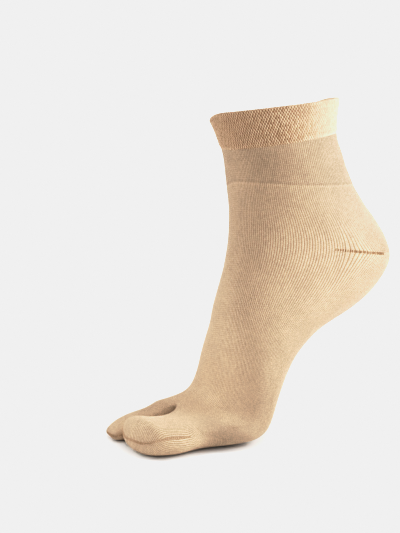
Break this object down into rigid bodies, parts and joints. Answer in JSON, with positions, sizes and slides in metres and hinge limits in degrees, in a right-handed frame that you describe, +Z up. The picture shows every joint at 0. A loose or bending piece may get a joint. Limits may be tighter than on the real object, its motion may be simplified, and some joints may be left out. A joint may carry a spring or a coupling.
{
  "type": "toe sock",
  "caption": "Thin knitted ankle sock with a divided toe, one pouch for the big toe and one for the other toes, in the shape it takes on a left foot up on its ball.",
  "frame": {"origin": "on the floor plane under the ball of the foot, in the middle of the sole's width, where the sock is carried by the foot in it", "axes": "+Z up along the leg; toes towards -Y and heel towards +Y; +X towards the little toe, on the outer side of this left sock"},
  "size_m": [0.0811, 0.2035, 0.2121],
  "materials": {
    "knit": "plain weft knit of beige cotton yarn, matt",
    "cuff_knit": "doubled knit of two shades of beige yarn in a fine seed pattern, matt"
  },
  "bodies": {
    "root": {"cuff": "cuff_knit", "leg": "knit", "heel": "knit", "foot": "knit", "four_toe_pouch": "knit", "big_toe_pouch": "knit", "four_toe_seam": "cuff_knit", "big_toe_seam": "cuff_knit"}
  },
  "joints": []
}
